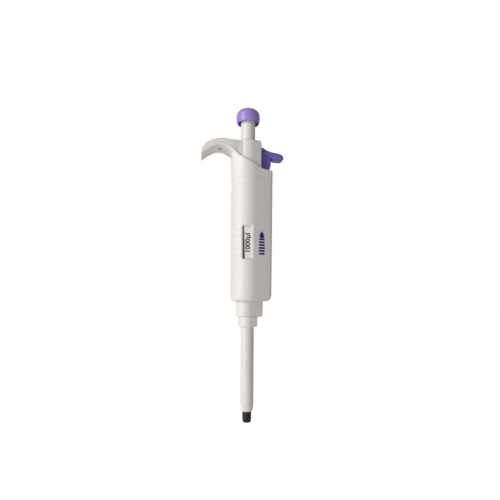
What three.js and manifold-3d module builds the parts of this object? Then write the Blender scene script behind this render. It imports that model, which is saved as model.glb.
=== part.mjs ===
// Fixed-volume 1000 microlitre air-displacement pipette, in millimetres, +Z up.
// The working frame has the piston axis as its Z axis and the nozzle's end face at z = 0.
// -X is the side of the finger hook, +X the side of the tip ejector's button.
// The exported group is moved so that its origin is the flat land under the hook.

import * as THREE from 'three';
import { mergeVertices } from 'three/addons/utils/BufferGeometryUtils.js';
import Module from 'manifold-3d';

const wasm = await Module();
wasm.setup();

// ---------------------------------------------------------------- driving dimensions

const ROUND = 32;             // sides of the parts that show
const ROUND_INNER = 20;       // sides of the parts inside
const WIRE_SIDES = 6;         // sides of a spring's wire
const COIL_STEPS = 10;        // steps in one turn of a spring
const FIT = 0.15;             // gap between two parts that are fixed together
const SLIDE = 0.25;           // gap round a part that slides

const PLUNGER_TRAVEL = 14;    // 12 mm of volume stroke, then 2 mm of blow-out
const BLOWOUT_TRAVEL = 2;
const PISTON_RADIUS = 5.15;   // 83.3 mm2 x 12.0 mm = 1000 mm3, or 1000 microlitres

const GRIP = {
  radius: 12.7, tail: 18.3, corner: 3, taper: 17.5,
  bottom: 92.9, top: 216, wall: 1.4, edge: 2.2, floor: 2.5, roof: 1.8,
};
const NECK = {
  radius: 10, tail: 9.5, corner: 1.4, taper: 17.5, bore: 8.8, top: 214.5, bottom: 186.4, edge: 1.2,
};
const HOOK = { halfWidth: 9.85, coverHalfWidth: 9.25 };
const LAND = { from: -25.2, to: -20.1, z: 208.9, mountX: -24.1 };
const SCREW = { x: -21.5, headRadius: 1.25, shankRadius: 0.75, head: 209.2, shank: 210, end: 213.4 };
const WINDOW = { left: -5.5, right: 1.3, bottom: 124.6, top: 149.2 };
const LENS = { front: -10.8, back: -10.3 };
const LABEL = { left: -4.8, right: 2.1, bottom: 122.5, top: 151, front: -10.1, back: -9.85 };

const ROD_RADIUS = 5.43;      // the white plunger tube under the button
const SHAFT_RADIUS = 2;       // the steel shaft inside it
const BUSH = { radius: 7.45, flange: 8.6, bottom: 202, ledge: 203.4, top: 212.3 };
const NUT = { radius: 7.3, bottom: 196.7, top: 201.7, thread: 4.4 };
const WASHER = { radius: 8.2, bottom: 183, top: NUT.bottom - PLUNGER_TRAVEL + BLOWOUT_TRAVEL - 0.2 };
const TUBE = { radius: 9.4, bore: 8.4, bottom: 107, top: 186.2, shelfBottom: 170.5, shelfTop: 172 };
const CAP = { radius: 7.9, bottom: 164.5, top: 167.5 };
const PISTON = { bottom: 96.4, top: 164.2 };
const CYLINDER = {
  bore: 5.5, spigot: 6.1, waist: 6.7, head: 8.3, socket: 7.5,
  bottom: 79.3, waistFrom: 81.2, headFrom: 95.6, seat: 104, top: 112,
};
const RETAINER = { radius: 7.35, flange: 8.2, bottom: 109.5, ledge: 112.2, top: 114 };
const NOZZLE = {
  radius: 3.54, face: 2.9, shaft: 4.05, duct: 1.2,
  shoulder: 6.1, spigot: 5.35, groove: 4.6, flange: 79, top: 82,
};

const SLEEVE = { radius: 5.16, bore: 4.36, end: 8.7, step: 73.5, floor: 74.8 };
const STEP = { radius: 6.95, tail: 7.3, corner: 1.2, taper: 17.5, bore: 6.25, top: 81 };
const COLLAR = {
  radius: 8, tail: 12.3, corner: 1.8, taper: 17.5, offset: -0.7, bore: 7.1, top: 93.7, edge: 0.5,
};
const POCKET_TOP = 94.1;      // of the recess under the grip that takes the collar's top
const EJECTOR_ROD = { radius: 1.2, lowX: 9.75, highX: 13.2, bottom: 85, jogFrom: 103, jogTo: 110, top: 182 };
const STEM = { from: 11, to: 16.6, widest: 17.5, halfWidth: 3.1, bottom: 172 };
const PAD = { halfWidth: 4.3, brow: 204.7, top: 210.3 };
const SHELF = { from: 10.2, bottom: 145.5, top: 147.7 };
const FLOOR_BORE = 7;         // the hole in the grip's floor that the cylinder's waist goes through

// ---------------------------------------------------------------- colours of the plastics and metals

const FINISHES = {
  whitePlastic: { color: 0xebe8e4, roughness: 0.45, metalness: 0 },
  naturalPlastic: { color: 0xe6e3da, roughness: 0.5, metalness: 0 },
  lilacPlastic: { color: 0x8f78c0, roughness: 0.35, metalness: 0 },
  violetPlastic: { color: 0x6f60b0, roughness: 0.4, metalness: 0 },
  blackPlastic: { color: 0x202022, roughness: 0.4, metalness: 0 },
  greyPlastic: { color: 0xb9bab8, roughness: 0.5, metalness: 0 },
  clearPlastic: { color: 0xf4f6f6, roughness: 0.08, metalness: 0 },
  paper: { color: 0xe8e8d8, roughness: 0.8, metalness: 0 },
  rubber: { color: 0x2b2b2d, roughness: 0.85, metalness: 0 },
  steel: { color: 0xb8babd, roughness: 0.3, metalness: 1 },
  brass: { color: 0xc2a25a, roughness: 0.35, metalness: 1 },
};

// ---------------------------------------------------------------- solids and booleans

const degrees = (angle) => (angle * Math.PI) / 180;
const points2 = (pairs) => pairs.map(([x, y]) => new THREE.Vector2(x, y));

// A mesh whose signed volume is negative is inside out, so its triangles are turned round.
function facingOut(geometry) {
  const position = geometry.getAttribute('position');
  const index = geometry.getIndex().array;
  const [a, b, c] = [new THREE.Vector3(), new THREE.Vector3(), new THREE.Vector3()];
  let volume = 0;
  for (let i = 0; i < index.length; i += 3) {
    a.fromBufferAttribute(position, index[i]);
    b.fromBufferAttribute(position, index[i + 1]);
    c.fromBufferAttribute(position, index[i + 2]);
    volume += a.dot(b.cross(c));
  }
  if (volume < 0) {
    for (let i = 0; i < index.length; i += 3) {
      [index[i + 1], index[i + 2]] = [index[i + 2], index[i + 1]];
    }
  }
  return geometry;
}

function solid(geometry) {
  geometry.deleteAttribute('normal');
  geometry.deleteAttribute('uv');
  const closed = facingOut(mergeVertices(geometry, 1e-4));
  const mesh = new wasm.Mesh({
    numProp: 3,
    vertProperties: Float32Array.from(closed.getAttribute('position').array),
    triVerts: Uint32Array.from(closed.getIndex().array),
  });
  return new wasm.Manifold(mesh);
}

const join = (first, ...others) => others.reduce((whole, other) => whole.add(other), first);
const cut = (first, ...others) => others.reduce((whole, other) => whole.subtract(other), first);

function toGeometry(manifold) {
  const mesh = manifold.getMesh();
  const geometry = new THREE.BufferGeometry();
  geometry.setAttribute('position', new THREE.BufferAttribute(Float32Array.from(mesh.vertProperties), 3));
  geometry.setIndex(new THREE.BufferAttribute(Uint32Array.from(mesh.triVerts), 1));
  return geometry;
}

// A profile of [radius, z] corners turned round the Z axis.
function turned(profile, sides = ROUND_INNER) {
  const closesOnAxis = profile[0][0] === 0 && profile.at(-1)[0] === 0;
  const corners = closesOnAxis ? profile : [...profile, profile[0]];
  return solid(new THREE.LatheGeometry(points2(corners), sides).rotateX(Math.PI / 2));
}

const ring = (outer, inner, z0, z1, sides = ROUND_INNER) =>
  turned([[inner, z0], [outer, z0], [outer, z1], [inner, z1]], sides);

const disc = (radius, z0, z1, x = 0, sides = ROUND_INNER) =>
  turned([[0, z0], [radius, z0], [radius, z1], [0, z1]], sides).translate([x, 0, 0]);

function block(x0, x1, y0, y1, z0, z1) {
  const box = new THREE.BoxGeometry(x1 - x0, y1 - y0, z1 - z0);
  return solid(box.translate((x0 + x1) / 2, (y0 + y1) / 2, (z0 + z1) / 2));
}

// An outline in the XZ plane given thickness along Y, centred on y = 0.
function slab(outline, halfWidth) {
  const settings = { depth: 2 * halfWidth, steps: 1, bevelEnabled: false };
  const geometry = new THREE.ExtrudeGeometry(new THREE.Shape(outline), settings);
  return solid(geometry.rotateX(Math.PI / 2).translate(0, halfWidth, 0));
}

// A teardrop section: a circle about the axis whose flat sides run in towards a blunt tail at +X.
function teardrop({ radius, tail, corner, taper }, inset = 0) {
  const slope = degrees(taper);
  const cornerX = tail - corner;
  const startX = radius * Math.sin(slope);
  const startY = radius * Math.cos(slope);
  const cornerY = startY - (cornerX - startX) * Math.tan(slope) - corner / Math.cos(slope);
  const shape = new THREE.Shape();
  shape.absarc(cornerX, -cornerY, corner - inset, slope - Math.PI / 2, 0, false);
  shape.absarc(cornerX, cornerY, corner - inset, 0, Math.PI / 2 - slope, false);
  shape.absarc(0, 0, radius - inset, Math.PI / 2 - slope, slope - Math.PI / 2 + 2 * Math.PI, false);
  return shape.getPoints(8);
}

// Skins a stack of sections that have the same number of points, with a fan at each end.
function loft(sections) {
  const count = sections[0].points.length - 1;
  const positions = [];
  const index = [];
  for (const { points, z } of sections) {
    for (const point of points.slice(0, count)) positions.push(point.x, point.y, z);
  }
  for (let level = 0; level + 1 < sections.length; level += 1) {
    for (let i = 0; i < count; i += 1) {
      const a = level * count + i;
      const b = level * count + ((i + 1) % count);
      index.push(a, b, b + count, a, b + count, a + count);
    }
  }
  for (const [level, flip] of [[0, true], [sections.length - 1, false]]) {
    const base = level * count;
    for (let i = 1; i + 1 < count; i += 1) {
      index.push(base, base + (flip ? i + 1 : i), base + (flip ? i : i + 1));
    }
  }
  const geometry = new THREE.BufferGeometry();
  geometry.setAttribute('position', new THREE.BufferAttribute(new Float32Array(positions), 3));
  geometry.setIndex(index);
  return solid(geometry);
}

// The sections of a teardrop body whose lower edge is rounded.
function roundedStack(body, bottom, top, inset = 0) {
  const sections = [0, 45, 90].map((angle) => {
    const turn = degrees(angle);
    const tuck = body.edge * (1 - Math.sin(turn));
    return { points: teardrop(body, inset + tuck), z: bottom + body.edge * (1 - Math.cos(turn)) };
  });
  return [...sections, { points: teardrop(body, inset), z: top }];
}

// A round wire swept along a path. A full circle gets two sides for each curve segment.
function wire(path, radius, steps, sides = 8) {
  const section = new THREE.Shape();
  section.absarc(0, 0, radius, 0, 2 * Math.PI, false);
  return solid(new THREE.ExtrudeGeometry(section, { extrudePath: path, steps, curveSegments: sides / 2 }));
}

class Helix extends THREE.Curve {
  constructor(radius, bottom, top, turns, x) {
    super();
    Object.assign(this, { radius, bottom, top, turns, x });
  }

  getPoint(t, target = new THREE.Vector3()) {
    const angle = 2 * Math.PI * this.turns * t;
    const z = this.bottom + (this.top - this.bottom) * t;
    return target.set(this.x + this.radius * Math.cos(angle), this.radius * Math.sin(angle), z);
  }
}

// A compression spring whose wire ends touch neither seat.
function spring({ radius, wireRadius, bottom, top, turns, x = 0 }) {
  const path = new Helix(radius, bottom + wireRadius, top - wireRadius, turns, x);
  return wire(path, wireRadius, turns * COIL_STEPS, WIRE_SIDES);
}

// ---------------------------------------------------------------- the line between grip and head cover

// Seen from the front it rises from the tail to the hook, and runs along the hook to its tip.
const PARTING = new THREE.SplineCurve(points2([
  [24, 191.5], [17, 192.1], [12, 192.5], [7, 193.9], [0.1, 197.5], [-6, 201], [-9.8, 204.4],
  [-14.2, 208.9], [-18.7, 210.7], [-23.2, 211.1], [-27.7, 210.2], [-31.2, 208.3], [-40, 202.6],
]));

// Everything below the parting line, lowered or lifted by a given distance.
function belowParting(offset) {
  const line = PARTING.getPoints(33).map((point) => new THREE.Vector2(point.x, point.y + offset));
  return slab([...line, new THREE.Vector2(-40, 60), new THREE.Vector2(24, 60)], 20);
}

// The finger hook's outline: its underside from the tip to the grip, then its top back to the tip.
function hookBlank(halfWidth) {
  const underside = new THREE.SplineCurve(points2([
    [-34.9, 203.2], [-33.4, 204], [-31.8, 204.9], [-29.5, 206.4], [-27.3, 207.9], [LAND.from, LAND.z],
  ])).getPoints(9);
  const inner = new THREE.SplineCurve(points2([
    [LAND.to, LAND.z], [-17.6, 208.2], [-14.6, 206.2], [-12.5, 202.8],
  ])).getPoints(7);
  const top = new THREE.SplineCurve(points2([
    [-6, 214], [-14, 214.2], [-19.2, 214.8], [-23.7, 214.5], [-28.1, 213.4],
    [-32.5, 211.1], [-34.9, 207.6], [-35.6, 204.8],
  ])).getPoints(18);
  return slab([...underside, ...inner, new THREE.Vector2(-6, 199), ...top], halfWidth);
}

// ---------------------------------------------------------------- the handle

const ejectorSlot = () => block(
  8, STEM.widest + FIT, -STEM.halfWidth - SLIDE, STEM.halfWidth + SLIDE, 187, 200,
);

function handleBody() {
  const grip = loft(roundedStack(GRIP, GRIP.bottom, GRIP.top));
  const outside = join(grip, hookBlank(HOOK.halfWidth)).intersect(belowParting(0));
  const inside = loft([
    { points: teardrop(GRIP, GRIP.wall), z: GRIP.bottom + GRIP.floor },
    { points: teardrop(GRIP, GRIP.wall), z: GRIP.top },
  ]).intersect(belowParting(-GRIP.roof));
  const shelf = block(SHELF.from, 30, -20, 20, SHELF.bottom, SHELF.top);
  const hollow = cut(inside, shelf);
  const window = block(WINDOW.left, WINDOW.right, -GRIP.radius - 1, -8, WINDOW.bottom, WINDOW.top);
  const pocket = loft([GRIP.bottom - 1, POCKET_TOP].map((z) => ({ points: teardrop(COLLAR, -FIT), z })));
  const mouth = loft([180, 216].map((z) => ({ points: teardrop(NECK, -FIT), z })));
  return cut(
    outside,
    hollow,
    window,
    mouth,
    ejectorSlot(),
    pocket.translate([COLLAR.offset, 0, 0]),
    disc(FLOOR_BORE, 90, 97),
    disc(EJECTOR_ROD.radius + SLIDE, 90, 97, EJECTOR_ROD.lowX, 16),
    disc(EJECTOR_ROD.radius + SLIDE, SHELF.bottom - 1, SHELF.top + 1, EJECTOR_ROD.highX, 16),
    disc(SCREW.headRadius + FIT, 200, SCREW.shank + FIT, SCREW.x, 16),
    disc(SCREW.shankRadius + FIT, 200, 216, SCREW.x, 16),
  );
}

function headCover() {
  const neck = loft([
    { points: teardrop(NECK), z: NECK.bottom },
    { points: teardrop(NECK), z: NECK.top - NECK.edge },
    { points: teardrop(NECK, NECK.edge * 0.3), z: NECK.top - NECK.edge * 0.3 },
    { points: teardrop(NECK, NECK.edge), z: NECK.top },
  ]);
  const hook = cut(hookBlank(HOOK.coverHalfWidth), belowParting(FIT));
  return cut(
    join(neck, hook),
    disc(NECK.bore, 180, BUSH.ledge),
    disc(BUSH.radius + FIT, BUSH.ledge - 1, BUSH.top + FIT),
    disc(ROD_RADIUS + SLIDE, BUSH.top, 216, 0, ROUND),
    disc(SCREW.shankRadius + FIT, 205, SCREW.end + FIT, SCREW.x, 16),
  );
}

const hookScrew = () => turned([
  [0, SCREW.head], [SCREW.headRadius, SCREW.head], [SCREW.headRadius, SCREW.shank],
  [SCREW.shankRadius, SCREW.shank], [SCREW.shankRadius, SCREW.end - 0.8], [0, SCREW.end],
], 16).translate([SCREW.x, 0, 0]);

const windowLens = () => block(
  WINDOW.left + FIT, WINDOW.right - FIT, LENS.front, LENS.back,
  WINDOW.bottom + FIT, WINDOW.top - FIT,
);

const volumeLabel = () => block(
  LABEL.left, LABEL.right, LABEL.front, LABEL.back, LABEL.bottom, LABEL.top,
);

const guideBush = () => {
  const bore = ROD_RADIUS + 0.12;
  return turned([
    [bore, BUSH.bottom], [BUSH.flange, BUSH.bottom], [BUSH.flange, BUSH.ledge - FIT],
    [BUSH.radius, BUSH.ledge - FIT], [BUSH.radius, BUSH.top], [bore, BUSH.top],
  ]);
};

// The tube that carries both springs: a lip keeps the washer in, a shelf holds the blow-out spring.
const innerTube = () => turned([
  [TUBE.bore, TUBE.bottom], [TUBE.radius, TUBE.bottom], [TUBE.radius, TUBE.top],
  [NUT.radius + 0.5, TUBE.top], [NUT.radius + 0.5, WASHER.top + SLIDE], [TUBE.bore, WASHER.top + SLIDE],
  [TUBE.bore, TUBE.shelfTop], [SHAFT_RADIUS + 1, TUBE.shelfTop],
  [SHAFT_RADIUS + 1, TUBE.shelfBottom], [TUBE.bore, TUBE.shelfBottom],
]);

// ---------------------------------------------------------------- the piston's cylinder and the cone

const cylinder = () => turned([
  [CYLINDER.bore, CYLINDER.bottom], [CYLINDER.spigot, CYLINDER.bottom],
  [CYLINDER.spigot, CYLINDER.waistFrom], [CYLINDER.waist, CYLINDER.waistFrom],
  [CYLINDER.waist, CYLINDER.headFrom], [CYLINDER.head, CYLINDER.headFrom],
  [CYLINDER.head, CYLINDER.top], [CYLINDER.socket, CYLINDER.top],
  [CYLINDER.socket, CYLINDER.seat], [CYLINDER.bore, CYLINDER.seat],
]);

const SEAL_BORE = PISTON_RADIUS + 0.05;

const pistonSeal = () => turned([
  [SEAL_BORE, CYLINDER.seat + 0.2], [RETAINER.radius, CYLINDER.seat + 0.2],
  [RETAINER.radius, CYLINDER.seat + 2.6],
  [SEAL_BORE + 0.9, CYLINDER.seat + 2.6], [SEAL_BORE + 0.5, CYLINDER.seat + 1.4],
]);

// An O-ring: a round section of the given radius about a circle of the given mean radius.
function oRing(meanRadius, sectionRadius, z) {
  const section = [...Array(8).keys()].map((i) => {
    const angle = (2 * Math.PI * i) / 8;
    return [meanRadius + sectionRadius * Math.cos(angle), z + sectionRadius * Math.sin(angle)];
  });
  return turned(section);
}

const sealORing = () => oRing(SEAL_BORE + 1.05, 1, CYLINDER.seat + 4);

const sealRetainer = () => turned([
  [SEAL_BORE + 0.2, RETAINER.bottom], [RETAINER.radius, RETAINER.bottom],
  [RETAINER.radius, RETAINER.ledge], [RETAINER.flange, RETAINER.ledge],
  [RETAINER.flange, RETAINER.top], [SEAL_BORE + 0.2, RETAINER.top],
]);

// The nozzle that takes the tip, its long cone inside the sleeve, and the spigot under the cylinder.
const tipCone = () => turned([
  [NOZZLE.duct, 0], [NOZZLE.face, 0], [NOZZLE.radius - 0.1, 0.7], [NOZZLE.radius - 0.1, 3],
  [NOZZLE.radius + 0.1, 3.6], [NOZZLE.radius - 0.1, 4.2], [NOZZLE.radius, 5], [NOZZLE.radius, 12],
  [NOZZLE.shaft, 15.5], [NOZZLE.shaft, SLEEVE.floor + 0.4], [NOZZLE.shoulder, 77.2],
  [NOZZLE.shoulder, NOZZLE.flange], [NOZZLE.spigot, NOZZLE.flange], [NOZZLE.spigot, 79.8],
  [NOZZLE.groove, 79.8], [NOZZLE.groove, 81], [NOZZLE.spigot, 81], [NOZZLE.spigot, NOZZLE.top],
  [NOZZLE.duct + 2, NOZZLE.top], [NOZZLE.duct, 78],
], ROUND_INNER);

const coneORing = () => oRing(5.03, 0.38, 80.4);

// ---------------------------------------------------------------- the plunger

// The dome is an ellipse above its widest level and a shallower one below, hollow round the rod.
function pushButton() {
  const widest = { radius: 8.9, z: 234 };
  const arc = (from, to, count, height, power) => [...Array(count + 1).keys()].map((i) => {
    const angle = degrees(from + ((to - from) * i) / count);
    return [
      widest.radius * Math.cos(angle) ** power,
      widest.z + height * Math.sign(angle) * Math.abs(Math.sin(angle)) ** power,
    ];
  });
  const lower = arc(-33, -6, 4, 9, 1);
  const upper = arc(0, 90, 9, 6.5, 0.84);
  upper.at(-1)[0] = 0;
  return turned([
    [0, 224], [3, 224], [3, 236.7], [6.4, 236.7], [7.5, 234], [6.9, 229.1], ...lower, ...upper,
  ], ROUND);
}

const plungerRod = () => turned([
  [SHAFT_RADIUS + FIT, NUT.bottom], [NUT.thread, NUT.bottom], [NUT.thread, NUT.top + 0.2],
  [ROD_RADIUS, NUT.top + 0.2],
  [ROD_RADIUS, 236.3], [3.15, 236.3], [3.15, 223], [SHAFT_RADIUS + FIT, 222],
], ROUND);

const calibrationNut = () => ring(NUT.radius, NUT.thread + FIT, NUT.bottom, NUT.top);

const pushShaft = () => disc(SHAFT_RADIUS, 158.4, 221);

const shaftClip = () => cut(ring(3.6, SHAFT_RADIUS + 0.05, 167.8, 168.6), block(0, 5, -1.2, 1.2, 167, 169));

const springCap = () => ring(CAP.radius, SHAFT_RADIUS + FIT, CAP.bottom, CAP.top);

const piston = () => turned([
  [0, PISTON.bottom], [PISTON_RADIUS - 0.5, PISTON.bottom], [PISTON_RADIUS, PISTON.bottom + 0.8],
  [PISTON_RADIUS, PISTON.top], [SHAFT_RADIUS + FIT, PISTON.top], [SHAFT_RADIUS + FIT, 158], [0, 158],
]);

const blowoutWasher = () => ring(WASHER.radius, SHAFT_RADIUS + 0.6, WASHER.bottom, WASHER.top);

// ---------------------------------------------------------------- the tip ejector

// The thumb pad slopes down from the stem's shoulder in a hollow curve to a round end.
function ejectorButton() {
  const pad = new THREE.Shape();
  pad.moveTo(STEM.from, 202);
  pad.lineTo(STEM.from, PAD.top - 0.6);
  pad.quadraticCurveTo(STEM.from, PAD.top, STEM.from + 0.9, PAD.top);
  pad.quadraticCurveTo(14.8, 208.2, 21, 207);
  pad.lineTo(25.3, 206.2);
  pad.absarc(25.1, 203.9, 2.35, degrees(70), degrees(-75), true);
  pad.lineTo(19.4, 201.5);
  pad.quadraticCurveTo(17.6, 201.2, STEM.widest, 199);
  pad.lineTo(STEM.to, 195);
  pad.lineTo(STEM.from, 195);
  const head = slab(pad.getPoints(5), PAD.halfWidth);
  const sides = [-20, STEM.halfWidth].map(
    (y) => block(0, STEM.widest, y, y + 20 - STEM.halfWidth, 190, PAD.brow),
  );
  const waist = cut(head, ...sides);
  const stem = block(STEM.from, STEM.to, -STEM.halfWidth, STEM.halfWidth, STEM.bottom, 197);
  const { radius, top, highX } = EJECTOR_ROD;
  const socket = disc(radius + FIT, STEM.bottom - 1, top + FIT, highX, 16);
  return cut(join(waist, stem), socket);
}

// A steel rod that steps in towards the axis under the springs' tube.
function ejectorRod() {
  const { lowX, highX, bottom, jogFrom, jogTo, top, radius } = EJECTOR_ROD;
  const path = new THREE.CurvePath();
  const at = (x, z) => new THREE.Vector3(x, 0, z);
  const third = (jogTo - jogFrom) / 3;
  path.add(new THREE.LineCurve3(at(lowX, bottom), at(lowX, jogFrom)));
  path.add(new THREE.CubicBezierCurve3(
    at(lowX, jogFrom), at(lowX, jogFrom + third), at(highX, jogTo - third), at(highX, jogTo),
  ));
  path.add(new THREE.LineCurve3(at(highX, jogTo), at(highX, top)));
  return wire(path, radius, 36, 6);
}

// The long tube that pushes the tip off, with the stepped collar that slides under the grip.
function ejectorSleeve() {
  const tube = turned([
    [3.85, SLEEVE.end], [4.25, SLEEVE.end], [4.5, SLEEVE.end + 0.5], [SLEEVE.radius, 13.5],
    [SLEEVE.radius, SLEEVE.step + 1], [SLEEVE.bore, SLEEVE.step + 1], [SLEEVE.bore, 14], [3.85, 12],
  ], ROUND);
  const step = loft([SLEEVE.step, STEP.top + 1].map((z) => ({ points: teardrop(STEP), z })));
  const collar = loft(roundedStack(COLLAR, STEP.top, COLLAR.top)).translate([COLLAR.offset, 0, 0]);
  return cut(
    join(tube, step, collar),
    disc(SLEEVE.bore, SLEEVE.step - 1, SLEEVE.floor + 1, 0, ROUND),
    disc(STEP.bore, SLEEVE.floor, STEP.top + 1),
    disc(COLLAR.bore, STEP.top + 0.2, COLLAR.top + 1),
    disc(EJECTOR_ROD.radius + FIT, EJECTOR_ROD.bottom - 0.4, COLLAR.top + 1, EJECTOR_ROD.lowX, 16),
  );
}

// ---------------------------------------------------------------- the assembly

const RETURN_SPRING = { radius: 6.9, wireRadius: 0.5, bottom: 114.2, top: 164.3, turns: 9 };
const BLOWOUT_SPRING = { radius: 6.6, wireRadius: 0.6, bottom: 172.2, top: 182.8, turns: 4 };
const EJECTOR_SPRING = { radius: 2.2, wireRadius: 0.35, bottom: 147.9, top: 171.8, turns: 9, x: 13.2 };

const PARTS = [
  ['handle_body', handleBody(), 'whitePlastic'],
  ['head_cover', headCover(), 'whitePlastic'],
  ['hook_screw', hookScrew(), 'steel'],
  ['window_lens', windowLens(), 'clearPlastic'],
  ['volume_label', volumeLabel(), 'paper'],
  ['guide_bush', guideBush(), 'naturalPlastic'],
  ['inner_tube', innerTube(), 'greyPlastic'],
  ['cylinder', cylinder(), 'greyPlastic'],
  ['piston_seal', pistonSeal(), 'naturalPlastic'],
  ['seal_o_ring', sealORing(), 'rubber'],
  ['seal_retainer', sealRetainer(), 'naturalPlastic'],
  ['tip_cone', tipCone(), 'blackPlastic'],
  ['cone_o_ring', coneORing(), 'rubber'],
  ['push_button', pushButton(), 'lilacPlastic'],
  ['plunger_rod', plungerRod(), 'whitePlastic'],
  ['calibration_nut', calibrationNut(), 'brass'],
  ['push_shaft', pushShaft(), 'steel'],
  ['shaft_clip', shaftClip(), 'steel'],
  ['spring_cap', springCap(), 'naturalPlastic'],
  ['piston', piston(), 'steel'],
  ['return_spring', spring(RETURN_SPRING), 'steel'],
  ['blowout_washer', blowoutWasher(), 'steel'],
  ['blowout_spring', spring(BLOWOUT_SPRING), 'steel'],
  ['ejector_button', ejectorButton(), 'violetPlastic'],
  ['ejector_rod', ejectorRod(), 'steel'],
  ['ejector_spring', spring(EJECTOR_SPRING), 'steel'],
  ['ejector_sleeve', ejectorSleeve(), 'whitePlastic'],
];

const pipette = new THREE.Group();
pipette.position.set(-LAND.mountX, 0, -LAND.z);
for (const [name, shape, finish] of PARTS) {
  const mesh = new THREE.Mesh(toGeometry(shape), new THREE.MeshStandardMaterial(FINISHES[finish]));
  mesh.name = name;
  pipette.add(mesh);
}

const group = new THREE.Group();
group.add(pipette);
export default group;
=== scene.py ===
"""The looks of a fixed-volume pipette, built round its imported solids.

Shapes are worked out in millimetres in the pipette's own frame: x and y from the piston axis, z up
from the nozzle's end. -x is the side of the finger hook, +x the tip ejector, -y the volume window.
"""

import math

import bmesh
import bpy
import numpy as np
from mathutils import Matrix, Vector

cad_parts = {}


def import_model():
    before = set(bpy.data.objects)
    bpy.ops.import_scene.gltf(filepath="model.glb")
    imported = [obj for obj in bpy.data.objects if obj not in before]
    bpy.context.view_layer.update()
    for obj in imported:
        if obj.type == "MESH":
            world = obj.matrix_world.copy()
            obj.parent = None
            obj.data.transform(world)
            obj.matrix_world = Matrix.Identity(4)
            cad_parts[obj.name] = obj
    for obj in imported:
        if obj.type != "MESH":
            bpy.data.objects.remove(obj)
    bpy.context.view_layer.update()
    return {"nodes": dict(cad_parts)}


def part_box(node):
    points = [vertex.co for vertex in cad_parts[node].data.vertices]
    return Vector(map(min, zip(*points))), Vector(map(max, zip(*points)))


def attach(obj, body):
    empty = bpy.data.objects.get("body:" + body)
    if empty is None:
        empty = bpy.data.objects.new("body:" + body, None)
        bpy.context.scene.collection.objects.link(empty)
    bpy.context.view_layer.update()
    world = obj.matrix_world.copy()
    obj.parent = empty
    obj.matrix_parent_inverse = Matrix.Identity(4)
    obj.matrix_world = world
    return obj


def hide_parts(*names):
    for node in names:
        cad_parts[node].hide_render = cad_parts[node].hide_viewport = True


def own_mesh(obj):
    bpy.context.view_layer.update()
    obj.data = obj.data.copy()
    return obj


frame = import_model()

# ------------------------------------------------------------------ the frame, in millimetres

MM = 0.001
rod_low, rod_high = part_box("plunger_rod")
ORIGIN = np.array([(rod_low.x + rod_high.x) / 2, 0.0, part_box("tip_cone")[0].z])


def cad_mm(node):
    """The lowest and highest corners of a CAD node in the pipette's frame."""
    low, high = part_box(node)
    return (np.array(low) - ORIGIN) / MM, (np.array(high) - ORIGIN) / MM


def world(point):
    """A point of the pipette's frame in metres in the row's frame."""
    return ORIGIN + np.asarray(point, float) * MM


HANDLE_LOW, HANDLE_HIGH = cad_mm("handle_body")
COVER_LOW = cad_mm("head_cover")[0]
SLEEVE_LOW, SLEEVE_HIGH = cad_mm("ejector_sleeve")
BUTTON_LOW = cad_mm("push_button")[0]
LEVER_LOW, LEVER_HIGH = cad_mm("ejector_button")
LENS_LOW, LENS_HIGH = cad_mm("window_lens")
LABEL_LOW, LABEL_HIGH = cad_mm("volume_label")
SCREW_LOW, SCREW_HIGH = cad_mm("hook_screw")
SCREW_X = (SCREW_LOW[0] + SCREW_HIGH[0]) / 2
LEVER_REACH = 17.5          # how far the ejector's stem reaches from the axis
STEM_HALF = 3.1             # half of the stem's width

# ------------------------------------------------------------------ lines and outlines

CURVE_STEPS = 8             # stretches of a curve from one of its points to the next


def spline(points, steps=CURVE_STEPS):
    """A Catmull-Rom curve through the points, each stretch cut into equal steps."""
    points = np.asarray(points, float)
    ends = np.vstack([2 * points[0] - points[1], points, 2 * points[-1] - points[-2]])
    t = np.linspace(0, 1, steps, endpoint=False)[None, :, None]
    a, b, c, d = (ends[k : len(ends) - 3 + k, None, :] for k in range(4))
    curve = 0.5 * (
        2 * b + (c - a) * t + (2 * a - 5 * b + 4 * c - d) * t**2 + (3 * b - a - 3 * c + d) * t**3
    )
    return np.vstack([curve.reshape(-1, points.shape[1]), points[-1]])


def smooth(value, low, high):
    """Goes from 0 at low to 1 at high along a smooth S."""
    t = np.clip((np.asarray(value, float) - low) / (high - low), 0, 1)
    return t * t * (3 - 2 * t)


def rounded(corners, steps=6, support=0.15):
    """A line through corners (a, b, radius), each turned along an arc.

    The arc has steps stretches, and a point of the line just outside each of its ends.
    """
    corners = np.asarray(corners, float)
    line = [corners[0, :2]]
    for before, here, after in zip(corners, corners[1:], corners[2:]):
        into = (here - before)[:2] / np.linalg.norm((here - before)[:2])
        out = (after - here)[:2] / np.linalg.norm((after - here)[:2])
        side = into[0] * out[1] - into[1] * out[0]
        turn = math.atan2(side, into @ out)
        if here[2] == 0 or abs(turn) < 1e-3:
            line.append(here[:2])
            continue
        reach = here[2] * math.tan(abs(turn) / 2)
        inward = np.array([-into[1], into[0]]) * math.copysign(here[2], turn)
        centre = here[:2] - into * reach + inward
        angles = np.linspace(0, turn, steps + 1)[:, None]
        arc = centre - inward * np.cos(angles) + into * here[2] * np.sin(np.abs(angles))
        line += [here[:2] - into * (reach + support), *arc, here[:2] + out * (reach + support)]
    line.append(corners[-1, :2])
    return np.array(line)


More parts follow.
